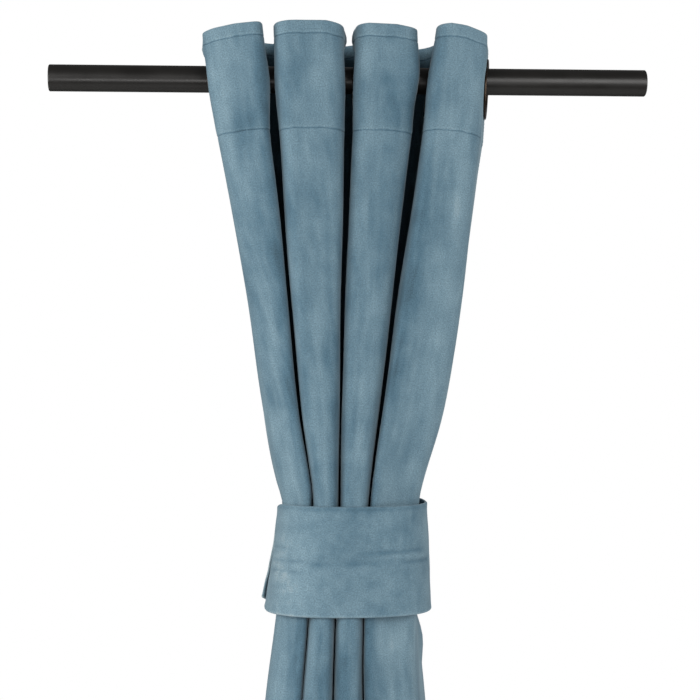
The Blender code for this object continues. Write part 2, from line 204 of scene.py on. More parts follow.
# Bulges of the front folds' sides round the rings and at the open top: fold, side, distance behind
# the rounded edge, height, half width, half height and depth
bulges = [
    (0, 1, -8.0, -6.0, 9.0, 30.0, 3.4),
    (2, 1, -12.0, 6.0, 12.0, 30.0, 6.0),
    (0, 0, -7.0, -6.0, 8.0, 26.0, 1.9),
    (0, 0, 10.0, 31.0, 10.0, 9.0, 4.5),
    (1, 0, -8.0, -8.0, 8.0, 30.0, 1.8),
    (1, 1, -8.0, -8.0, 8.0, 26.0, 1.4),
    (2, 0, -8.0, -8.0, 8.0, 26.0, 1.4),
    (3, 0, -8.0, -4.0, 8.0, 26.0, 2.2),
    (1, 1, 22.0, 38.0, 20.0, 13.0, 7.5),
    (2, 0, 20.0, 38.0, 18.0, 13.0, 5.5),
    (3, 0, -6.0, -190.0, 8.0, 90.0, 1.7),
    (3, 1, -6.0, 22.0, 9.0, 26.0, 2.2),
    (3, 1, 32.0, -528.0, 16.0, 22.0, 5.0),
]
# Depths, lengths and tones of the cloth's surface, with bellReach the cut-off of a patch in half heights
surface = {
    "creaseSway": 0.06,
    "creaseSwayRun": 31.0,
    "creaseEnd": 0.18,
    "bellReach": 2.2,
    "closeGap": 0.36,
    "closeGapLow": 0.60,
    "closeLowFrom": -490.0,
    "closeLowRun": 20.0,
    "closeInset": 6.0,
    "closeRun": 24.0,
    "closeEnd": 8.0,
    "waveDepth": 0.9,
    "waveLength": 34.0,
    "waveStretch": 3.2,
    "puckerDepth": 0.68,
    "puckerLength": 8.0,
    "puckerFade": 6.0,
    "seamPinch": 0.7,
    "seamWidth": 0.9,
    "sidePinch": 0.42,
    "sideWidth": 2.0,
    "headingRun": 1.5,
    "cutShare": 0.45,
    "cutRun": 1.4,
    "headingCalm": 0.45,
    "headingCalmRun": 60.0,
    "bandCalm": (-385.0, -508.0),
    "bandCalmRun": 10.0,
    # Painted shade in the hollows between folds and along the fold edges beside them, lessened near the open
    # top
    "hollowShade": 0.62,
    "hollowOnset": 0.42,
    "tiedOnset": 0.30,
    "hollowRun": 0.58,
    "mouthLight": 0.95,
    "mouthFrom": 2.0,
    "mouthRun": 26.0,
    "edgeShade": 0.10,
    "edgeReach": 0.2,
    "edgeRun": 0.5,
    # Painted shade in the crease troughs
    "creaseShade": 0.12,
    "patchStrength": 0.85,
    "smudgeShade": 0.19,
    "smudgeLength": 15.0,
    "smudgeStretch": 2.4,
    "streakShade": 0.15,
    "streakWidth": 4.2,
    "streakLength": 46.0,
    "hemLight": 0.08,
}


def mix(first, second, share):
    return first + (second - first) * share


def smoothStep(value):
    value = min(max(value, 0.0), 1.0)
    return value * value * (3 - 2 * value)


def bell(across, up=0.0):
    # 1 in the middle, and down to 0 on every side
    return math.exp(-across * across - up * up)


def sectionAt(height):
    # Straight in the heading and a smooth curve through the rows below it
    upper = 0
    while upper < len(sectionRows) - 2 and height < sectionRows[upper + 1][0]:
        upper += 1
    top, low = sectionRows[upper], sectionRows[upper + 1]
    span = low[0] - top[0]
    t = (height - top[0]) / span
    if upper == 0:
        return mix(top[1:], low[1:], t)

    def slope(index):
        before = sectionRows[max(index - 1, 1)]
        after = sectionRows[min(index + 1, len(sectionRows) - 1)]
        return (after[1:] - before[1:]) / (after[0] - before[0]) * span

    return (
        (2 * t**3 - 3 * t**2 + 1) * top[1:]
        + (t**3 - 2 * t**2 + t) * slope(upper)
        + (3 * t**2 - 2 * t**3) * low[1:]
        + (t**3 - t**2) * slope(upper + 1)
    )


def ovalHeight(x, left, right):
    share = abs(x - (left + right) / 2) / ((right - left) / 2)
    share = min(share, gather["ovalLimit"])
    return (1 - share ** gather["ovalPower"]) ** (1 / gather["ovalPower"])


def rounded(corner, before, after, reachBefore, reachAfter, steps):
    start = corner + (before - corner).normalized() * reachBefore
    end = corner + (after - corner).normalized() * reachAfter
    shares = [step / steps for step in range(steps + 1)]
    return [start * (1 - t) ** 2 + corner * (2 * t * (1 - t)) + end * t**2 for t in shares]


def foldArcs(section, reach, frontSteps, backSteps):
    # The rounded corners of one level section, from the left side hem to the right one
    half = panel["thickness"] / 2
    edges = [edge + half if i % 2 == 0 else edge - half for i, edge in enumerate(section[:8])]
    front, tied, leftLean, rightLean = section[8:12]
    left, right = edges[0], edges[-1]
    fronts, backs = [], []
    for i, (reference, slant) in enumerate(flanks):
        leftDepth, rightDepth = frontFolds[i // 2][:2]
        freeDepth = leftDepth if i % 2 == 0 else rightDepth
        y = -mix(freeDepth, front * ovalHeight(edges[i], left, right), tied)
        fronts.append(Vector((edges[i] + slant * (y - reference) * (1 - tied), y)))
        depthShare, leftShare, rightShare = backFolds[(i + 1) // 2]
        share = rightShare if i % 2 == 0 else leftShare
        tiedX = (left + right) / 2 + share * (right - left) / 2
        y = mix(reach * depthShare, reach * ovalHeight(tiedX, left, right), tied)
        x = mix(edges[i] + slant * (y - reference), tiedX, tied)
        backs.append(Vector((x + {0: leftLean, 7: rightLean}.get(i, 0.0), y)))
    run = mix(gather["returnLength"], gather["tiedReturnLength"], tied)
    leftTip = backs[0] + Vector((run, gather["returnRise"] * run))
    rightTip = backs[7] + Vector((-run, gather["returnRise"] * run))
    arcs = [[leftTip]]
    for i in range(8):
        back = backs[i]
        forward = i % 2 == 0
        side = -1 if forward else 1
        face = (fronts[i - side] - fronts[i]).length
        freeRound = frontFolds[i // 2][2 if forward else 3]
        tiedRound = min(gather["faceRound"] * face, gather["faceRoundMost"])
        frontRound = mix(freeRound, tiedRound, tied)
        away = fronts[i] - back
        frontReach = mix(abs(fronts[i].y) - panel["ringFlat"], gather["flankRound"] * away.length, tied)
        backReach = mix(abs(back.y) - panel["ringFlat"], gather["flankRound"] * away.length, tied)
        drawnIn = max(-side * away.x / away.y, 0.0) * frontReach
        shift = frontRound * drawnIn / (frontRound + drawnIn) * tied
        corner = fronts[i] + Vector((side * shift, 0.0))
        if i == 0:
            otherBack = leftTip
        elif i == 7:
            otherBack = rightTip
        else:
            otherBack = backs[i + side]
        backRound = gather["backFaceRound"] * (otherBack - back).length
        if forward:
            arcs.append(rounded(back, otherBack, corner, backRound, backReach, backSteps))
            arcs.append(rounded(corner, back, fronts[i + 1], frontReach, frontRound, frontSteps))
        else:
            arcs.append(rounded(corner, fronts[i - 1], back, frontRound, frontReach, frontSteps))
            arcs.append(rounded(back, corner, otherBack, backReach, backRound, backSteps))
    arcs.append([rightTip])
    return arcs


def pathLength(points):
    return sum((after - before).length for before, after in zip(points, points[1:]))


def solveReach(section):
    # The back folds are as deep as the cut width needs
    width = panel["cutWidth"] * (1 - panel["crumpledShare"] * section[9])
    low, high = 40.0, 160.0
    for _ in range(22):
        reach = (low + high) / 2
        arcs = foldArcs(section, reach, panel["solveFrontSteps"], panel["solveBackSteps"])
        if pathLength([point for arc in arcs for point in arc]) < width:
            low = reach
        else:
            high = reach
    return (low + high) / 2


def straightParts():
    # How many parts each straight run between two corners has
    flank, front, back = panel["flankParts"], panel["frontFaceParts"], panel["backFaceParts"]
    parts = [panel["returnParts"], flank]
    for fold in range(4):
        parts += [front, flank]
        parts += [back, flank] if fold < 3 else []
    return parts + [panel["returnParts"]]


def finePath(section, reach):
    arcs = foldArcs(section, reach, panel["frontSteps"], panel["backSteps"])
    points = list(arcs[0])
    for arc, parts in zip(arcs[1:], straightParts()):
        start = points[-1]
        points += [start.lerp(arc[0], step / parts) for step in range(1, parts)]
        points += arc
    return points


def foldColumns():
    # For each front fold the column numbers of its two rounded edges: left arc, then right arc
    kinds = []
    for i in range(8):
        kinds += ["back", "front"] if i % 2 == 0 else ["front", "back"]
    column, arcs = 0, []
    for kind, parts in zip(kinds, straightParts()):
        column += parts
        size = panel["backSteps"] if kind == "back" else panel["frontSteps"]
        if kind == "front":
            arcs.append((column, column + size))
        column += size
    return [(arcs[2 * fold], arcs[2 * fold + 1]) for fold in range(4)]


def foldFaces(row, columns):
    # Distances along the cloth of the visible edges of each front fold: the middles of its arcs
    return [tuple((row[first] + row[last]) / 2 for first, last in pair) for pair in columns]


def rowHeights():
    heights = []
    for top, low, count in rowSpans:
        heights += [mix(top, low, step / count) for step in range(count)]
    return heights + [hemLevel]


def creaseDepth(height, along, centres):
    # Sum of the soft troughs and ridges at one point of a row
    depth = 0.0
    for fold, topShare, lowShare, top, low, deep, width in creases:
        if not low < height < top:
            continue
        t = (top - height) / (top - low)
        start, end = centres[fold]
        sway = surface["creaseSway"] * math.sin(height / surface["creaseSwayRun"] + fold * 2.1)
        centre = mix(start, end, (mix(topShare, lowShare, t) + sway + 1) / 2)
        fade = smoothStep(t / surface["creaseEnd"]) * smoothStep((1 - t) / surface["creaseEnd"])
        depth += deep * fade * bell((along - centre) / width)
    return depth


def bulgeDepth(row, height, along, columns):
    depth = 0.0
    for fold, side, behind, level, wide, tall, deep in bulges:
        away = (height - level) / tall
        if abs(away) < surface["bellReach"]:
            place = row[columns[fold][1][1]] + behind if side else row[columns[fold][0][0]] - behind
            depth += deep * bell((along - place) / wide, away)
    return depth


def closeDepth(height, tied, along, centres):
    # Gathered folds press against each other, so their sides come out a little
    if along <= centres[0][0] or along >= centres[-1][1]:
        return 0.0
    outside = min(max(start - along, along - end) for start, end in centres)
    low = smoothStep((surface["closeLowFrom"] - height) / surface["closeLowRun"])
    gap = mix(surface["closeGap"], surface["closeGapLow"], low)
    begins = smoothStep((outside + surface["closeInset"]) / surface["closeInset"])
    return gap * tied * begins * smoothStep((surface["closeRun"] - outside) / surface["closeEnd"])


def waveDepth(height, along):
    # Slow unevenness of hung cloth, longer down the drop than across it
    scale = surface["waveLength"]
    place = Vector((along / scale, height / scale / surface["waveStretch"], 3.7))
    return surface["waveDepth"] * noise.noise(place)


def puckerDepth(height, along):
    # Small gathers that a seam draws into the cloth beside it
    total = 0.0
    for level in (topStitchLevel, panel["seamHeight"]):
        fade = math.exp(-abs(height - level) / surface["puckerFade"])
        place = Vector((along / surface["puckerLength"], level, 0.0))
        total += fade * noise.noise(place)
    return surface["puckerDepth"] * total


def rimShare(edge, run, share):
    # How much of its thickness the cloth keeps near a cut edge
    return mix(share, 1.0, math.sqrt(min(max(edge / run, 0.0), 1.0)))


def sheetThickness(height, along):
    # The heading is thicker, the seams are pressed in and the cut edges are thin
    heading = smoothStep((height - panel["seamHeight"]) / surface["headingRun"] + 0.5)
    base = mix(panel["thickness"], panel["headingThickness"], heading)
    for level in seamLevels:
        base -= surface["seamPinch"] * bell((height - level) / surface["seamWidth"])
    for line in (panel["sideHem"], panel["cutWidth"] - panel["sideHem"]):
        base -= surface["sidePinch"] * bell((along - line) / surface["sideWidth"])
    edge = min(panel["headingTop"] - height, height - hemLevel, along, panel["cutWidth"] - along)
    return base * rimShare(edge, surface["cutRun"], surface["cutShare"])


def hollowShade(row, height, tied, along, columns):
    # Painted shade on the flanks between two folds, and a little along the fold edges beside the gaps;
    # less of it near the open top, and the outer sides stay pale
    if along <= row[columns[0][0][1]] or along >= row[columns[-1][1][0]]:
        return 0.0
    shade, edge = 1.0, 1.0
    start, run = surface["hollowOnset"], surface["hollowRun"]
    tiedStart = mix(start, surface["tiedOnset"], tied)
    for (leftBack, leftFront), (rightFront, rightBack) in columns:
        toLeft = (row[leftFront] - along) / (row[leftFront] - row[leftBack])
        toRight = (along - row[rightFront]) / (row[rightBack] - row[rightFront])
        deepest = max(smoothStep((toLeft - start) / run), smoothStep((toRight - tiedStart) / run))
        shade = min(shade, deepest)
        edge = min(edge, smoothStep((max(toLeft, toRight) + surface["edgeReach"]) / surface["edgeRun"]))
    lit = 1.0 - surface["mouthLight"] * smoothStep((height - surface["mouthFrom"]) / surface["mouthRun"])
    return surface["hollowShade"] * shade * lit + surface["edgeShade"] * edge


def napAndPaintedShade(height, along, centres):
    # Listed nap patches, some painted light and shade, soft smudges and painted shade in the crease troughs
    shade = 0.0
    for fold, share, level, wide, tall, strength in napAndShadingPatches:
        away = (height - level) / tall
        if abs(away) < surface["bellReach"]:
            across = (along - mix(*centres[fold], (share + 1) / 2)) / wide
            shade += surface["patchStrength"] * strength * bell(across, away)
    shade -= surface["creaseShade"] * creaseDepth(height, along, centres)
    size = surface["smudgeLength"]
    place = Vector((along / size, height / size / surface["smudgeStretch"], 21.3))
    soft = noise.noise(place) + 0.6 * noise.noise(place * 2.3)
    fine = noise.noise(Vector((along / surface["streakWidth"], height / surface["streakLength"], 5.9)))
    shade += surface["smudgeShade"] * soft + surface["streakShade"] * fine
    if height > topStitchLevel:
        shade -= surface["hemLight"]
    return shade


ring = {
    "rodRadius": 12.5,
    "seatGap": 0.3,
    "bore": 20.0,
    "barrel": 21.5,
    "flange": 28.5,
    "halfWidth": 3.4,
    "grooveHalf": 1.3,
    "clothHole": 23.6,
    "boreFlare": 1.6,
    "boreInset": 0.25,
    "sharpAngle": 50.0,
    "clampReach": 8.0,
    "segments": 72,
    "edgeSteps": 5,
}


def ringPlanes():
    # The flat of each flank in the heading gives its ring's place and turn
    planes = []
    half = panel["thickness"] / 2
    rise = panel["headingTop"] - panel["seamHeight"]
    for i, (reference, slant) in enumerate(flanks):
        inset = half if i % 2 == 0 else -half
        top, low = sectionRows[0][1 + i] + inset, sectionRows[1][1 + i] + inset
        along = Vector((slant, 1.0, 0.0)).normalized()
        up = Vector(((top - low) / rise, 0.0, 1.0)).normalized()
        axis = along.cross(up).normalized()
        up = axis.cross(along)
        level = ring["rodRadius"] + ring["seatGap"] - ring["bore"]
        x = mix(top, low, (panel["headingTop"] - level) / rise) - slant * reference
        height = ring["rodRadius"] + ring["seatGap"] - ring["bore"] * up.z
        turn = Matrix((along, up, axis)).transposed().to_4x4()
        planes.append(Matrix.Translation(Vector((x, 0.0, height)) * mm) @ turn)
    return planes


def gridNormals(points):
    # Outwards: towards the room on a fold's front
    down = np.gradient(points, axis=0)
    across = np.gradient(points, axis=1)
    normal = np.cross(down, across)
    return normal / np.linalg.norm(normal, axis=2, keepdims=True)


def shellMesh(name, points, thickness, along, down, shade, keep=None):
    # A closed sheet from a grid of middle points, with UVs that run along the cloth in metres
    rows, columns = points.shape[:2]
    normal = gridNormals(points)
    outer = points + normal * thickness[..., None] / 2
    inner = points - normal * thickness[..., None] / 2
    vertices = np.concatenate([outer.reshape(-1, 3), inner.reshape(-1, 3)]) * mm
    if keep is None:
        keep = np.ones((rows - 1, columns - 1), bool)
    shift = rows * columns
    faces = []
    used = set()
    for row in range(rows - 1):
        for column in range(columns - 1):
            if not keep[row, column]:
                continue
            a = row * columns + column
            loop = (a, a + 1, a + 1 + columns, a + columns)
            faces.append(loop)
            faces.append(tuple(index + shift for index in reversed(loop)))
            for start, end in zip(loop, loop[1:] + loop[:1]):
                if (end, start) in used:
                    used.remove((end, start))
                else:
                    used.add((start, end))
    for start, end in used:
        faces.append((end, start, start + shift, end + shift))
    mesh = bpy.data.meshes.new(name)
    mesh.from_pydata(vertices.tolist(), [], faces)
    uvs = np.stack([along, down], axis=-1).reshape(-1, 2) * mm
    uvs = np.concatenate([uvs, uvs])
    layer = mesh.uv_layers.new(name="cloth")
    order = np.zeros(len(mesh.loops), int)
    mesh.loops.foreach_get("vertex_index", order)
    layer.data.foreach_set("uv", uvs[order].ravel())
    # The pile's tone at each point, with painted shade and painted light included
    pileToneAndShade = mesh.attributes.new("pileToneAndShade", "FLOAT", "POINT")
    pileToneAndShade.data.foreach_set("value", np.tile(shade.ravel(), 2))
    mesh.shade_smooth()
    tidy = bmesh.new()
    tidy.from_mesh(mesh)
    loose = [v for v in tidy.verts if not v.link_faces]
    bmesh.ops.delete(tidy, geom=loose, context="VERTS")
    bmesh.ops.recalc_face_normals(tidy, faces=tidy.faces)
    tidy.to_mesh(mesh)
    tidy.free()
    return mesh


def addPiece(name, mesh, material):
    piece = bpy.data.objects.new(name, mesh)
    bpy.context.scene.collection.objects.link(piece)
    mesh.materials.clear()
    mesh.materials.append(material)
    return piece


def panelGrid():
    heights = rowHeights()
    columns = foldColumns()
    points, alongs = [], []
    sections = [sectionAt(height) for height in heights]
    for height, section in zip(heights, sections):
        path = finePath(section, solveReach(section))
        steps = [0.0]
        for before, after in zip(path, path[1:]):
            steps.append(steps[-1] + (after - before).length)
        alongs.append(np.array(steps) * panel["cutWidth"] / steps[-1])
        points.append([(p.x, p.y, height) for p in path])
    points = droppedRows(np.array(points), heights)
    alongs = np.array(alongs)
    normal = gridNormals(points)
    push = np.zeros(alongs.shape)
    thickness = np.zeros(alongs.shape)
    shade = np.zeros(alongs.shape)
    for row, (height, section) in enumerate(zip(heights, sections)):
        faces = foldFaces(alongs[row], columns)
        calm = clothCalm(height)
        for column in range(alongs.shape[1]):
            along = alongs[row][column]
            push[row, column] = creaseDepth(height, along, faces) * calm
            push[row, column] += bulgeDepth(alongs[row], height, along, columns)
            push[row, column] += closeDepth(height, section[9], along, faces)
            push[row, column] += waveDepth(height, along) * calm + puckerDepth(height, along)
            thickness[row, column] = sheetThickness(height, along)
            shade[row, column] = napAndPaintedShade(height, along, faces)
            shade[row, column] += hollowShade(alongs[row], height, section[9], along, columns)
    points = points + normal * (push * ringCalm(points))[..., None]
    down = np.repeat(np.array(heights)[:, None], alongs.shape[1], axis=1)
    return points, thickness, alongs, down, heights, shade


def droppedRows(points, heights):
    # Each column slides down its own line of the hung surface, less and less below the heading
    drops = np.interp(points[0, :, 0], topDrops[:, 0], topDrops[:, 1])
    levels = np.array(heights)
    share = np.clip((levels - dropEnd) / (panel["headingTop"] - dropEnd), 0.0, 1.0) ** dropFade
    moved = points.copy()
    for column, drop in enumerate(drops):
        places = levels - drop * share
        for axis in range(3):
            moved[:, column, axis] = np.interp(-places, -levels, points[:, column, axis])
    return moved


def clothCalm(height):
    # The stiffened heading stays smoother than the cloth below, and the band presses its own part flat
    below = smoothStep((panel["seamHeight"] - height) / surface["headingCalmRun"] + 0.5)
    (top, low), run = surface["bandCalm"], surface["bandCalmRun"]
    underBand = 1.0 - smoothStep((top - height) / run) * smoothStep((height - low) / run)
    return mix(surface["headingCalm"], 1.0, below) * underBand


def ringDistances(points, plane):
    # The ring's middle and axis, and how far each point is out of its plane and from its axis
    middle = np.array(plane.translation) / mm
    axis = np.array(plane.to_3x3().col[2])
    offset = points - middle
    outOf = offset @ axis
    within = np.linalg.norm(offset - outOf[..., None] * axis, axis=2)
    return middle, axis, np.abs(outOf), within


def ringCalm(points):
    # Cloth lies flat where the rings clamp it
    calm = np.ones(points.shape[:2])
    for plane in ringPlanes():
        outOf, within = ringDistances(points, plane)[2:]
        near = np.clip((within - ring["flange"]) / ring["clampReach"], 0.0, 1.0)
        calm = np.where(outOf < ring["clampReach"], np.minimum(calm, near), calm)
    return calm


def ringHoles(points):
    # Faces inside each ring are left out, and the hole's edge is drawn on to its circle
    keep = np.ones((points.shape[0] - 1, points.shape[1] - 1), bool)
    centres = (points[:-1, :-1] + points[1:, :-1] + points[:-1, 1:] + points[1:, 1:]) / 4
    for plane in ringPlanes():
        middle, axis, outOf, within = ringDistances(centres, plane)
        inside = (outOf < ring["clampReach"]) & (within < ring["clothHole"])
        keep &= ~inside
        near = np.zeros(points.shape[:2], int)
        near[:-1, :-1] += inside
        near[1:, :-1] += inside
        near[:-1, 1:] += inside
        near[1:, 1:] += inside
        for row, column in np.argwhere((near > 0) & (near < 4)):
            reach = points[row, column] - middle
            out = reach @ axis
            flat = reach - out * axis
            points[row, column] = middle + out * axis + flat / np.linalg.norm(flat) * ring["clothHole"]
    return keep


# Node helpers
def setInputs(tree, node, inputs):
    # Each input takes a link from a socket, or a plain value
    for name, value in inputs.items():
        if isinstance(value, bpy.types.NodeSocket):
            tree.links.new(value, node.inputs[name])
        else:
            node.inputs[name].default_value = value


def addNode(tree, kind, inputs=None, **settings):
    # The nodes stand in rows of eight, in the order in which they are made
    node = tree.nodes.new(kind)
    row, column = divmod(len(tree.nodes), 8)
    node.location = (column * 220 - 900, 400 - row * 280)
    for name, value in settings.items():
        setattr(node, name, value)
    setInputs(tree, node, inputs or {})
    return node


def mathNode(tree, operation, *values):
    return addNode(tree, "ShaderNodeMath", dict(enumerate(values)), operation=operation).outputs[0]


def noiseNode(tree, vector, scale, detail, roughness=0.5):
    inputs = {"Vector": vector, "Scale": scale, "Detail": detail, "Roughness": roughness}
    return addNode(tree, "ShaderNodeTexNoise", inputs).outputs[0]


def mapRange(tree, value, start, end, toStart=0.0, toEnd=1.0, curve="LINEAR"):
    inputs = {"Value": value, "From Min": start, "From Max": end, "To Min": toStart, "To Max": toEnd}
    return addNode(tree, "ShaderNodeMapRange", inputs, interpolation_type=curve).outputs[0]


def bumpNode(tree, height, strength, distance):
    inputs = {"Strength": strength, "Distance": distance, "Height": height}
    return addNode(tree, "ShaderNodeBump", inputs).outputs[0]


def newGroup(name, inputs, outputs):
    # An input with no value is a vector, and the rest are numbers
    group = bpy.data.node_groups.new(name, "ShaderNodeTree")
    for label, value in inputs.items():
        kind = "NodeSocketVector" if value is None else "NodeSocketFloat"
        socket = group.interface.new_socket(label, in_out="INPUT", socket_type=kind)
        if value is not None:
            socket.default_value = value
    for label in outputs:
        group.interface.new_socket(label, in_out="OUTPUT", socket_type="NodeSocketFloat")
    return group, addNode(group, "NodeGroupInput").outputs, addNode(group, "NodeGroupOutput")


def newMaterial(name):
    material = bpy.data.materials.new(name)
    material.use_nodes = True
    tree = material.node_tree
    return material, tree, tree.nodes["Principled BSDF"]


def makeNapGroup():
    # Cut pile: broad brushed clouds, upright streaks, a fine grain and a height
    group, start, end = newGroup(
        "velvetNap",
        {"Vector": None, "Patch Scale": 26.0, "Streak Scale": 130.0, "Streak": 0.2, "Grain Scale": 780.0},
        ("Patch", "Grain", "Height"),
    )
    stretch = addNode(group, "ShaderNodeCombineXYZ", {"X": 1.0, "Y": start["Streak"], "Z": 1.0})
    factors = {0: start["Vector"], 1: stretch.outputs[0]}
    upright = addNode(group, "ShaderNodeVectorMath", factors, operation="MULTIPLY")
    cloud = noiseNode(group, start["Vector"], start["Patch Scale"], 4.0, 0.6)
    streak = noiseNode(group, upright.outputs[0], start["Streak Scale"], 3.0, 0.6)
    grain = noiseNode(group, start["Vector"], start["Grain Scale"], 2.0, 0.75)
    joined = mathNode(group, "MULTIPLY_ADD", streak, 0.4, mathNode(group, "MULTIPLY", cloud, 0.6))
    height = mathNode(group, "MULTIPLY_ADD", streak, 0.2, mathNode(group, "MULTIPLY", grain, 0.8))
    patch = mapRange(group, joined, 0.32, 0.68, curve="SMOOTHSTEP")
    setInputs(group, end, {"Patch": patch, "Grain": grain, "Height": height})
    return group


# A seam's look, in metres: its half width, its pale lip above it, and how it wanders
seamLook = {
    "width": 0.0010,
    "lipShift": -0.0019,
    "wander": 0.0024,
    "wanderScale": 95.0,
}


def makeSeamGroup():
    # A level seam at one height of the cloth: the dark line of the join and its pale upper lip
    inputs = {"Vector": None, "Level": 0.0, "Width": seamLook["width"]}
    group, start, end = newGroup("seamLine", inputs, ("Dark", "Lip"))
    parts = addNode(group, "ShaderNodeSeparateXYZ", {0: start["Vector"]})
    wander = noiseNode(group, start["Vector"], seamLook["wanderScale"], 1.0)
    uneven = mathNode(group, "MULTIPLY", mathNode(group, "SUBTRACT", wander, 0.5), seamLook["wander"])
    away = mathNode(group, "SUBTRACT", mathNode(group, "ADD", parts.outputs["Y"], uneven), start["Level"])
    for label, shift in (("Dark", 0.0), ("Lip", seamLook["lipShift"])):
        distance = mathNode(group, "ABSOLUTE", mathNode(group, "ADD", away, shift))
        setInputs(group, end, {label: mapRange(group, distance, 0.0, start["Width"], 1.0, 0.0, "SMOOTHSTEP")})
    return group


def makeWearGroup():
    # Fine unevenness of a coated or plated surface
    inputs = {"Vector": None, "Scale": 600.0, "Cloud Scale": 40.0}
    group, start, end = newGroup("finishGrain", inputs, ("Grain", "Cloud"))
    grain = noiseNode(group, start["Vector"], start["Scale"], 3.0)
    cloud = noiseNode(group, start["Vector"], start["Cloud Scale"], 2.0)
    setInputs(group, end, {"Grain": grain, "Cloud": cloud})
    return group


# The pile's colours lie on one ramp, from pale, which painted light reaches, to pressed, then painted shade
# deep in a hollow
velvet = {
    "darkNap": (0.060, 0.116, 0.158),
    "lightNap": (0.138, 0.213, 0.258),
    "paleNap": (0.240, 0.306, 0.334),
    "hollowShadeFactor": 0.55,
    "lightAt": 0.25,
    "darkAt": 0.72,
    "middle": 0.30,
    "patchShare": 0.32,
    "patchScale": 26.0,
    "streak": 0.2,
    "grainDark": 0.70,
    "grainLight": 1.28,
    "seamDark": 0.40,
    "seamLip": 0.12,
    "sheenWeight": 0.20,
    "sheenRoughness": 0.45,
    "sheenTint": (0.80, 0.93, 1.0),
    "specular": 0.14,
    "roughness": 0.84,
    "roughSpread": 0.08,
    "bump": 0.3,
    "bumpDistance": 0.0003,
}


def velvetTone(tree, uv, nap, look, levels):
    # How dark the pile is: nap patches with painted shade and painted light, the clouds and the seams
    pileToneAndShade = addNode(tree, "ShaderNodeAttribute", attribute_name="pileToneAndShade")
    patch = mathNode(tree, "MULTIPLY", mathNode(tree, "SUBTRACT", 0.5, nap["Patch"]), look["patchShare"])
    tone = mathNode(tree, "ADD", mathNode(tree, "ADD", pileToneAndShade.outputs["Fac"], patch), look["middle"])
    for level in levels:
        inputs = {"Vector": uv, "Level": level * mm}
        seam = addNode(tree, "ShaderNodeGroup", inputs, node_tree=seamGroup).outputs
        tone = mathNode(tree, "MULTIPLY_ADD", seam["Dark"], look["seamDark"], tone)
        tone = mathNode(tree, "MULTIPLY_ADD", seam["Lip"], -look["seamLip"], tone)
    return tone


def makeVelvet(name, look, levels=()):
    material, tree, shader = newMaterial(name)
    uv = addNode(tree, "ShaderNodeUVMap", uv_map="cloth").outputs[0]
    inputs = {"Vector": uv, "Patch Scale": look["patchScale"], "Streak": look["streak"]}
    nap = addNode(tree, "ShaderNodeGroup", inputs, node_tree=napGroup).outputs
    tone = velvetTone(tree, uv, nap, look, levels)
    place = mathNode(tree, "MULTIPLY_ADD", tone, 1.0 - look["lightAt"], look["lightAt"])
    colour = addNode(tree, "ShaderNodeValToRGB", {0: place})
    ramp = colour.color_ramp.elements
    ramp[0].color = (*look["paleNap"], 1.0)
    # The ramp's far end is painted shade for the hollows between folds
    ramp[1].color = (*(value * look["hollowShadeFactor"] for value in look["darkNap"]), 1.0)
    ramp.new(look["lightAt"]).color = (*look["lightNap"], 1.0)
    ramp.new(look["darkAt"]).color = (*look["darkNap"], 1.0)
    grain = mapRange(tree, nap["Grain"], 0.3, 0.7, look["grainDark"], look["grainLight"])
    shade = addNode(tree, "ShaderNodeVectorMath", {0: colour.outputs[0], "Scale": grain}, operation="SCALE")
    smooth, rough = look["roughness"] - look["roughSpread"], look["roughness"] + look["roughSpread"]
    setInputs(tree, shader, {
        "Base Color": shade.outputs[0],
        "Roughness": mapRange(tree, nap["Patch"], 0.0, 1.0, smooth, rough),
        "Normal": bumpNode(tree, nap["Height"], look["bump"], look["bumpDistance"]),
        "Specular IOR Level": look["specular"],
        "Sheen Weight": look["sheenWeight"],
        "Sheen Roughness": look["sheenRoughness"],
        "Sheen Tint": (*look["sheenTint"], 1.0),
    })
    return material


rodLook = {
    "dark": (0.006, 0.0056, 0.0052),
    "light": (0.012, 0.0112, 0.0105),
    "roughLow": 0.30,
    "roughHigh": 0.38,
    "metallic": 0.0,
    "specular": 0.30,
    "grainScale": 900.0,
    "bumpDistance": 0.00005,
}
ringLook = {
    "dark": (0.022, 0.016, 0.012),
    "light": (0.064, 0.045, 0.033),
    "roughLow": 0.22,
    "roughHigh": 0.36,
    "metallic": 1.0,
    "specular": 0.5,
    "grainScale": 1200.0,
    "bumpDistance": 0.00002,
}
threadLook = {
    "dark": (0.022, 0.048, 0.070),
    "light": (0.038, 0.076, 0.104),
    "roughLow": 0.7,
    "roughHigh": 0.85,
    "metallic": 0.0,
    "specular": 0.5,
    "grainScale": 3000.0,
    "bumpDistance": 0.0001,
}


def makeCoated(name, look):
    material, tree, shader = newMaterial(name)
    place = addNode(tree, "ShaderNodeTexCoord").outputs["Object"]
    inputs = {"Vector": place, "Scale": look["grainScale"]}
    wear = addNode(tree, "ShaderNodeGroup", inputs, node_tree=wearGroup).outputs
    ends = {0: wear["Cloud"], 6: (*look["dark"], 1.0), 7: (*look["light"], 1.0)}
    colour = addNode(tree, "ShaderNodeMix", ends, data_type="RGBA")
    setInputs(tree, shader, {
        "Base Color": colour.outputs[2],
        "Roughness": mapRange(tree, wear["Cloud"], 0.3, 0.7, look["roughLow"], look["roughHigh"]),
        "Normal": bumpNode(tree, wear["Grain"], 0.25, look["bumpDistance"]),
        "Metallic": look["metallic"],
        "Specular IOR Level": look["specular"],
    })
    return material


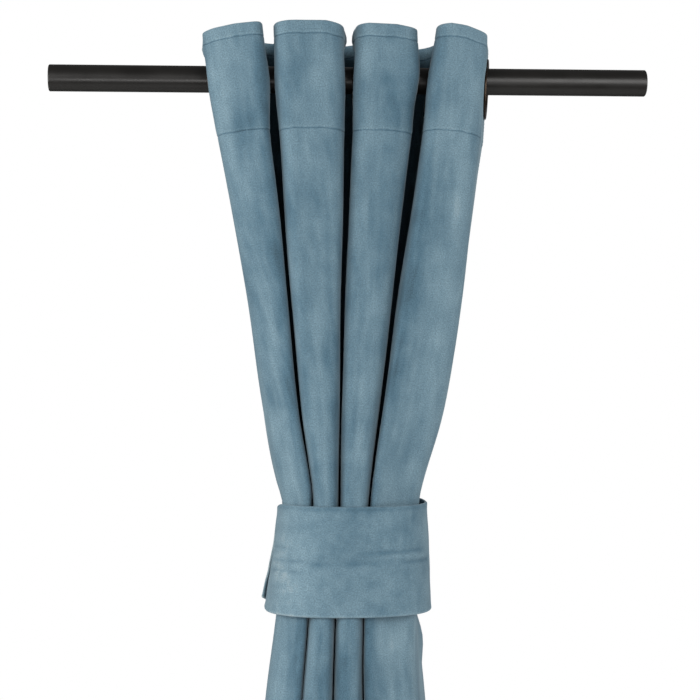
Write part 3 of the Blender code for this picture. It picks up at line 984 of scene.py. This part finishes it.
napGroup = makeNapGroup()
seamGroup = makeSeamGroup()
wearGroup = makeWearGroup()
panelVelvet = makeVelvet("dustyBlueVelvet", velvet, seamLevels)
bandVelvet = makeVelvet("bandVelvet", dict(velvet, middle=0.34, patchScale=30.0, streak=0.8))
rodPaint = makeCoated("satinBlackPaint", rodLook)
ringPlate = makeCoated("darkBronzePlate", ringLook)
thread = makeCoated("sewingThread", threadLook)
print("materials made")

# The panel, hung in its pleats
points, thickness, alongs, down, heights, shade = panelGrid()
keep = ringHoles(points)
panelMesh = shellMesh("curtainCloth", points, thickness, alongs, down, shade, keep)
curtainCloth = addPiece("curtainCloth", panelMesh, panelVelvet)
print("panel sheet:", len(panelMesh.polygons), "faces")


# Turned shapes: the rings and the rod
def turnedMesh(name, outline, segments, alongX, closed, sharpAngle):
    # Turns an outline of radius and place round the Z axis, or round X
    shape = bmesh.new()
    loops = []
    for radius, place in outline:
        count = segments if radius > 0 else 1
        loop = []
        for step in range(count):
            angle = math.tau * step / count
            around = (radius * math.cos(angle) * mm, radius * math.sin(angle) * mm)
            loop.append(shape.verts.new((place * mm, *around) if alongX else (*around, place * mm)))
        loops.append(loop)
    for here, there in zip(loops, loops[1:] + (loops[:1] if closed else [])):
        for i in range(segments):
            j = (i + 1) % segments
            corners = [here[i % len(here)], here[j % len(here)], there[j % len(there)], there[i % len(there)]]
            shape.faces.new(dict.fromkeys(corners))
    bmesh.ops.recalc_face_normals(shape, faces=shape.faces)
    mesh = bpy.data.meshes.new(name)
    shape.to_mesh(mesh)
    shape.free()
    mesh.shade_smooth()
    mesh.set_sharp_from_angle(angle=math.radians(sharpAngle))
    return mesh


def ringSection():
    # Half outline of the rounded flange, then mirrored about the groove
    middle = (ring["grooveHalf"] + ring["halfWidth"]) / 2
    lip = (ring["halfWidth"] - ring["grooveHalf"]) / 2
    outline = []
    for step in range(ring["edgeSteps"] + 1):
        angle = math.pi / 2 - math.pi * step / ring["edgeSteps"]
        outline.append((ring["flange"] - lip + lip * math.cos(angle), middle + lip * math.sin(angle)))
    outline.append((ring["barrel"], ring["grooveHalf"]))
    lower = [(radius, -height) for radius, height in reversed(outline)]
    bore = []
    for step in range(ring["edgeSteps"] + 1):
        share = step / ring["edgeSteps"] * 2 - 1
        radius = ring["bore"] + ring["boreFlare"] * abs(share) ** 3
        bore.append((radius, share * (ring["halfWidth"] - ring["boreInset"] * abs(share))))
    return outline + lower + bore


# Copies of one shape on many points, by Geometry Nodes
def geometryTree(name, inputs):
    tree = bpy.data.node_groups.new(name, "GeometryNodeTree")
    for label, kind in {"Geometry": "NodeSocketGeometry", "Shape": "NodeSocketObject", **inputs}.items():
        tree.interface.new_socket(label, in_out="INPUT", socket_type=kind)
    tree.interface.new_socket("Geometry", in_out="OUTPUT", socket_type="NodeSocketGeometry")
    return tree, addNode(tree, "NodeGroupInput").outputs, addNode(tree, "NodeGroupOutput")


def placeCopies(tree, start, end, points, rotation, scale, material):
    # The last nodes of each tree: the copies are made real and get their material
    shape = addNode(tree, "GeometryNodeObjectInfo", {0: start["Shape"]})
    places = {"Points": points, "Instance": shape.outputs["Geometry"], "Rotation": rotation, "Scale": scale}
    copies = addNode(tree, "GeometryNodeInstanceOnPoints", places)
    real = addNode(tree, "GeometryNodeRealizeInstances", {0: copies.outputs[0]})
    finish = addNode(tree, "GeometryNodeSetMaterial", {0: real.outputs[0], "Material": material})
    setInputs(tree, end, {0: finish.outputs[0]})
    return tree


def ringTree(material):
    # One ring on each seat, turned as the seat's attribute says
    tree, start, end = geometryTree("eyeletRings", {"Size": "NodeSocketFloat"})
    turn = addNode(tree, "GeometryNodeInputNamedAttribute", {"Name": "turn"}, data_type="FLOAT_VECTOR")
    rotation = addNode(tree, "FunctionNodeEulerToRotation", {0: turn.outputs[0]})
    seats = addNode(tree, "GeometryNodeMeshToPoints", {0: start["Geometry"]})
    return placeCopies(tree, start, end, seats.outputs[0], rotation.outputs[0], start["Size"], material)


def stitchTree(material):
    # Stitches at an even pitch along each line, a little uneven in size
    inputs = {"Pitch": "NodeSocketFloat", "Unevenness": "NodeSocketFloat"}
    tree, start, end = geometryTree("seamStitches", inputs)
    curve = addNode(tree, "GeometryNodeMeshToCurve", {0: start["Geometry"]})
    inputs = {0: curve.outputs[0], "Length": start["Pitch"]}
    spaced = addNode(tree, "GeometryNodeResampleCurve", inputs, mode="LENGTH")
    tangent = addNode(tree, "GeometryNodeInputTangent")
    align = addNode(tree, "FunctionNodeAlignRotationToVector", {"Vector": tangent.outputs[0]}, axis="X")
    low = mathNode(tree, "SUBTRACT", 1.0, start["Unevenness"])
    high = mathNode(tree, "ADD", 1.0, start["Unevenness"])
    uneven = addNode(tree, "FunctionNodeRandomValue", {2: low, 3: high, "Seed": 7}, data_type="FLOAT")
    return placeCopies(tree, start, end, spaced.outputs[0], align.outputs[0], uneven.outputs[1], material)


def runTree(holder, tree, values):
    # Sets the inputs by their identifiers and turns the result into a plain mesh
    modifier = holder.modifiers.new(tree.name, "NODES")
    modifier.node_group = tree
    for item in tree.interface.items_tree:
        if item.in_out == "INPUT" and item.name in values:
            modifier[item.identifier] = values[item.name]
    bpy.context.view_layer.update()
    evaluated = holder.evaluated_get(bpy.context.evaluated_depsgraph_get())
    mesh = bpy.data.meshes.new_from_object(evaluated)
    holder.modifiers.remove(modifier)
    return mesh


def makeCopies(name, seats, shape, tree, values, material):
    # Runs the tree on the seats, and keeps only the copies
    holder = addPiece("seats", seats, material)
    original = addPiece("original", shape, material)
    mesh = runTree(holder, tree, {"Shape": original, **values})
    bpy.data.objects.remove(holder)
    bpy.data.objects.remove(original)
    return addPiece(name, mesh, material)


def makeRings(material):
    planes = ringPlanes()
    seats = bpy.data.meshes.new("ringSeats")
    seats.from_pydata([plane.translation for plane in planes], [], [])
    turns = seats.attributes.new("turn", "FLOAT_VECTOR", "POINT")
    for index, plane in enumerate(planes):
        turns.data[index].vector = plane.to_euler()
    oneRing = turnedMesh("oneRing", ringSection(), ring["segments"], False, True, ring["sharpAngle"])
    return makeCopies("eyeletRings", seats, oneRing, ringTree(material), {"Size": 1.0}, material)


eyeletRings = makeRings(ringPlate)
print("rings:", len(eyeletRings.data.polygons), "faces")

# Stitches: small capsules along the seam lines, on both faces of the cloth
stitch = {
    "pitch": 3.4,
    "length": 2.5,
    "radius": 0.26,
    "sink": 0.10,
    "unevenness": 0.12,
}


def stitchMesh():
    shape = bmesh.new()
    bmesh.ops.create_icosphere(shape, subdivisions=1, radius=1.0)
    for vert in shape.verts:
        vert.co.x *= stitch["length"] / 2 * mm
        vert.co.y *= stitch["radius"] * mm
        vert.co.z *= stitch["radius"] * mm
    mesh = bpy.data.meshes.new("oneStitch")
    shape.to_mesh(mesh)
    shape.free()
    mesh.shade_smooth()
    return mesh


def nearestRow(level):
    return int(np.argmin([abs(height - level) for height in heights]))


def seamLines():
    # Level lines at the seams, upright lines along the side hems, on both faces
    normal = gridNormals(points)
    reach = (thickness / 2 - stitch["sink"])[..., None]
    lastColumn = alongs.shape[1] - 1
    lines = []
    for face in (1, -1):
        skin = points + normal * reach * face
        lines += [skin[nearestRow(level)] for level in seamLevels]
        for line in (panel["sideHem"], panel["cutWidth"] - panel["sideHem"]):
            upright = []
            for row in range(len(heights)):
                column = np.interp(line, alongs[row], np.arange(lastColumn + 1))
                first = int(column)
                second = min(first + 1, lastColumn)
                upright.append(mix(skin[row, first], skin[row, second], column - first))
            lines.append(np.array(upright))
    return lines


def makeStitches(material):
    vertices, edges = [], []
    for line in seamLines():
        first = len(vertices)
        vertices += (line * mm).tolist()
        edges += [(first + i, first + i + 1) for i in range(len(line) - 1)]
    seams = bpy.data.meshes.new("seamLines")
    seams.from_pydata(vertices, edges, [])
    values = {"Pitch": stitch["pitch"] * mm, "Unevenness": stitch["unevenness"]}
    return makeCopies("seamStitches", seams, stitchMesh(), stitchTree(material), values, material)


seamStitches = makeStitches(thread)
print("stitches:", len(seamStitches.data.polygons), "faces")


# The tieback band: one strip round the gathered folds, lapped behind the left side
band = {
    "thickness": 2.4,
    "start": 152.0,
    "lapRise": 60.0,
    "dip": 9.0,
    "dipStart": 205.0,
    "dipRun": 55.0,
    "endDipStart": 455.0,
    "dipFloor": -490.0,
    "lapOffset": 3.0,
    "columns": 320,
    "puff": 0.3,
    "press": 0.3,
    "edgeRoll": 0.7,
    "rollWidth": 4.0,
    "cutShare": 0.35,
    "cutRun": 1.3,
    "waveDepth": 0.5,
    "waveLength": 45.0,
    "waveHeight": 20.0,
    "creaseSway": 0.8,
    "creaseEnd": 0.25,
    "creaseShade": 0.22,
    # Painted shade just under the top edge and a painted highlight along the bottom edge
    "topEdgeShade": 0.22,
    "bottomEdgeHighlight": -0.26,
}
# height, left, right, front and back of the inner face, degrees of lap, and the tail's stand-off
# and rise
bandRows = np.array([
    (-396.5, -66.1, 70.2, 59.9, 84.0, 8.0, 0.0, 0.0),
    (-430.0, -68.8, 71.4, 61.0, 84.0, 13.0, 0.3, 0.0),
    (-464.0, -73.4, 72.6, 62.2, 84.5, 15.0, 0.6, 2.5),
    (-497.0, -78.6, 74.0, 63.4, 85.5, 16.0, 1.2, 7.0),
])
# Level creases of the band: height, angles of its two ends, depth and half width
bandCreases = [
    (-436.0, 184.0, 226.0, -0.8, 1.7),
    (-447.0, 184.0, 244.0, -1.0, 1.7),
    (-457.5, 183.0, 242.0, -0.9, 1.8),
    (-471.0, 184.0, 232.0, -0.5, 2.2),
    (-480.0, 186.0, 232.0, -0.5, 2.4),
    (-449.0, 232.0, 292.0, -0.7, 3.0),
    (-438.5, 268.0, 338.0, -0.9, 2.2),
    (-447.5, 300.0, 346.0, -1.1, 2.3),
    (-443.0, 282.0, 342.0, 0.6, 2.0),
]
# Patches of the band's pile, partly brushed nap and partly painted light and shade, such as the pale
# painted light on its left side and tail: angle and height, half widths in degrees and millimetres, strength
bandNapAndShadingPatches = [
    (228.0, -415.0, 16.0, 8.0, 0.26),
    (212.0, -448.0, 34.0, 70.0, -0.44),
    (520.0, -450.0, 20.0, 70.0, -0.90),
    (262.0, -425.0, 26.0, 26.0, 0.16),
    (312.0, -420.0, 14.0, 16.0, 0.16),
    (336.0, -424.0, 8.0, 20.0, -0.16),
    (250.0, -480.0, 30.0, 16.0, -0.10),
    (322.0, -476.0, 16.0, 14.0, 0.10),
    (216.0, -466.0, 14.0, 12.0, -0.10),
    (352.0, -450.0, 7.0, 60.0, -0.30),
]
bandLevels = [(0.0, 3.0, 6), (3.0, 38.0, 12), (38.0, 66.0, 24), (66.0, 97.5, 10), (97.5, 100.5, 6)]


def bandRow(height):
    return [np.interp(-height, -bandRows[:, 0], bandRows[:, i]) for i in range(1, 8)]


def bandPoint(height, share):
    # Share is 0 at the strip's start and 1 at its loose end
    left, right, front, back, lapRun, standOff, rise = bandRow(height)
    run = 360.0 + lapRun
    angle = band["start"] + run * share
    turn = math.radians(angle)
    toEnd = run * (1.0 - share)
    lap = smoothStep(1.0 - (toEnd - lapRun) / band["lapRise"])
    loose = max(1.0 - toEnd / lapRun, 0.0)
    offset = band["thickness"] / 2 + band["lapOffset"] * lap + standOff * loose
    power = 2 / gather["ovalPower"]
    cos, sin = math.cos(turn), math.sin(turn)
    depth = back if sin > 0 else front
    x = (left + right) / 2 + ((right - left) / 2 + offset) * math.copysign(abs(cos) ** power, cos)
    y = (depth + offset) * math.copysign(abs(sin) ** power, sin)
    dip = smoothStep((band["dipStart"] - angle) / band["dipRun"])
    dip += smoothStep((angle - band["endDipStart"]) / band["dipRun"])
    dip *= band["dip"] * smoothStep((height - band["dipFloor"]) / 60.0)
    return (x, y, height + rise * loose - dip)


def bandRelief(height, angle):
    # Depth of the level creases at one point
    depth = 0.0
    for crease, first, last, deep, width in bandCreases:
        t = (angle - first) / (last - first)
        if 0.0 < t < 1.0:
            fade = smoothStep(t / band["creaseEnd"]) * smoothStep((1 - t) / band["creaseEnd"])
            centre = crease + band["creaseSway"] * math.sin(angle / 17.0 + crease)
            depth += deep * fade * bell((height - centre) / width)
    return depth


def bandShade(height, angle, fromTop, fromBottom, relief):
    # Painted shade in the creases, the patches, painted shade just under the top edge,
    # a painted highlight along the rolled bottom edge, and soft smudges
    shade = -band["creaseShade"] * relief
    for middle, level, wide, tall, strength in bandNapAndShadingPatches:
        away = (height - level) / tall
        shade += surface["patchStrength"] * strength * bell((angle - middle) / wide, away)
    # Painted shade just under the top edge, and a painted highlight along the bottom edge
    shade += band["topEdgeShade"] * bell((fromTop - 2.6) / 2.4)
    shade += band["bottomEdgeHighlight"] * bell((fromBottom - 0.8) / 1.3)
    place = Vector((angle / 9.0, height / 16.0, 11.7))
    return shade + 0.12 * noise.noise(place) + 0.08 * noise.noise(place * 2.6)


def makeBand(material):
    top, low = bandRows[0][0], bandRows[-1][0]
    levels = []
    for start, end, count in bandLevels:
        levels += [mix(start, end, step / count) for step in range(count)]
    levels.append(bandLevels[-1][1])
    shares = [column / band["columns"] for column in range(band["columns"] + 1)]
    grid = np.array([[bandPoint(top - level, share) for share in shares] for level in levels])
    steps = np.linalg.norm(np.diff(grid, axis=1), axis=2)
    along = np.concatenate([np.zeros((len(levels), 1)), np.cumsum(steps, axis=1)], axis=1)
    normal = gridNormals(grid)
    push = np.zeros(along.shape)
    thick = np.zeros(along.shape)
    shade = np.zeros(along.shape)
    for row, level in enumerate(levels):
        height = top - level
        edge = min(level, top - low - level)
        run = 360.0 + bandRow(height)[4]
        for column, share in enumerate(shares):
            angle = band["start"] + run * share
            relief = bandRelief(height, angle)
            place = Vector((along[row][column] / band["waveLength"], height / band["waveHeight"], 8.1))
            depth = relief + band["waveDepth"] * noise.noise(place)
            depth += band["puff"] * math.sin(math.pi * level / (top - low))
            push[row, column] = depth - band["press"]
            side = min(along[row][column], along[row][-1] - along[row][column])
            rolled = band["thickness"] + band["edgeRoll"] * bell(edge / band["rollWidth"])
            thick[row, column] = rolled * rimShare(min(edge, side), band["cutRun"], band["cutShare"])
            shade[row, column] = bandShade(height, angle, level, top - low - level, relief)
    grid = grid + normal * push[..., None]
    downs = np.repeat(np.array(levels)[:, None], len(shares), axis=1)
    mesh = shellMesh("tiebackCloth", grid, thick, along, downs, shade)
    return addPiece("tiebackCloth", mesh, material), along


tiebackCloth, bandAlong = makeBand(bandVelvet)
print("band:", len(tiebackCloth.data.polygons), "faces")

# The rod: its solid's cylinder, smoother and with a small round at each cut end
rodShape = {
    "radius": 12.5,
    "length": 563.0,
    "endRound": 0.8,
    "sharpAngle": 30.0,
    "segments": 96,
}


def makeRod(material):
    half, radius, cut = rodShape["length"] / 2, rodShape["radius"], rodShape["endRound"]
    outline = [(0.0, -half), (radius - cut, -half), (radius, cut - half)]
    outline += [(width, -place) for width, place in reversed(outline)]
    mesh = turnedMesh("rodBar", outline, rodShape["segments"], True, False, rodShape["sharpAngle"])
    return addPiece("rodBar", mesh, material)


rodBar = makeRod(rodPaint)

for piece, slotName in (
    (curtainCloth, "velvet"),
    (tiebackCloth, "velvet"),
    (seamStitches, "velvet"),
    (eyeletRings, "ring_bronze"),
    (rodBar, "rod_black"),
):
    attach(piece, "root")
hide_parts("curtain_panel")
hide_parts("tieback_band")
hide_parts("rod")
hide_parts(*[f"eyelet_ring_{number}" for number in range(1, 9)])

# Camera, worked out from the rod's line and thickness
camera = {
    "distance": 1.650,
    "drop": -0.254,
    "yaw": 3.5,
    "lens": 89.98,
    "sensor": 36.0,
}
yaw = math.radians(camera["yaw"])
cameraData = bpy.data.cameras.new("studioCamera")
cameraData.lens = camera["lens"]
cameraData.sensor_width = camera["sensor"]
studioCamera = bpy.data.objects.new("studioCamera", cameraData)
bpy.context.scene.collection.objects.link(studioCamera)
away = camera["distance"]
studioCamera.location = (-away * math.sin(yaw), -away * math.cos(yaw), camera["drop"])
studioCamera.rotation_euler = (math.pi / 2, 0.0, -yaw)
bpy.context.scene.camera = studioCamera

# Pale floor and soft light
studio = {
    "floorLevel": -1.352,
    "floorRadius": 1.0,
    "floorColour": (0.82, 0.82, 0.81),
    "floorRoughness": 0.7,
    "aim": (0.0, 0.0, -0.35),
    "worldSeen": 1.0,
    "worldLight": 0.16,
}
lights = [
    # name, place, width, height, power, colour
    ("keyPanel", (-1.7, -2.3, 0.5), 1.6, 1.6, 52.0, (1.0, 0.985, 0.965)),
    ("frontPanel", (1.1, -2.7, 0.3), 1.7, 1.7, 55.0, (1.0, 0.99, 0.975)),
    ("lowPanel", (-0.35, -2.5, -1.0), 1.3, 0.4, 16.0, (1.0, 0.99, 0.975)),
    ("leftRim", (-2.3, -0.2, -0.1), 1.3, 1.3, 34.0, (1.0, 0.985, 0.96)),
    ("rightRim", (2.3, -0.1, -0.1), 1.3, 1.3, 26.0, (1.0, 0.985, 0.96)),
]


def makeFloor():
    shape = bmesh.new()
    bmesh.ops.create_circle(shape, cap_ends=True, segments=96, radius=studio["floorRadius"])
    mesh = bpy.data.meshes.new("paleFloor")
    shape.to_mesh(mesh)
    shape.free()
    mesh.transform(Matrix.Translation((0.0, 0.0, studio["floorLevel"])))
    material, tree, shader = newMaterial("paleFloor")
    colour = (*studio["floorColour"], 1.0)
    setInputs(tree, shader, {"Base Color": colour, "Roughness": studio["floorRoughness"]})
    return addPiece("paleFloor", mesh, material)


def makeLights():
    for name, place, width, height, power, colour in lights:
        data = bpy.data.lights.new(name, "AREA")
        data.shape = "ELLIPSE"
        data.size = width
        data.size_y = height
        data.energy = power
        data.color = colour
        lamp = bpy.data.objects.new(name, data)
        bpy.context.scene.collection.objects.link(lamp)
        lamp.location = place
        aim = Vector(studio["aim"]) - Vector(place)
        lamp.rotation_euler = aim.to_track_quat("-Z", "Y").to_euler()


def makeWorld():
    world = bpy.data.worlds.new("whiteStudio")
    world.use_nodes = True
    bpy.context.scene.world = world
    tree = world.node_tree
    white = (1.0, 1.0, 1.0, 1.0)
    seen = tree.nodes["Background"]
    setInputs(tree, seen, {"Color": white, "Strength": studio["worldSeen"]})
    lighting = addNode(tree, "ShaderNodeBackground", {"Color": white, "Strength": studio["worldLight"]})
    ray = addNode(tree, "ShaderNodeLightPath")
    inputs = {0: ray.outputs["Is Camera Ray"], 1: lighting.outputs[0], 2: seen.outputs[0]}
    choose = addNode(tree, "ShaderNodeMixShader", inputs)
    setInputs(tree, tree.nodes["World Output"], {"Surface": choose.outputs[0]})


makeFloor()
makeLights()
makeWorld()
bpy.context.scene.view_settings.view_transform = "Standard"
bpy.context.scene.view_settings.look = "None"
print("stage set")
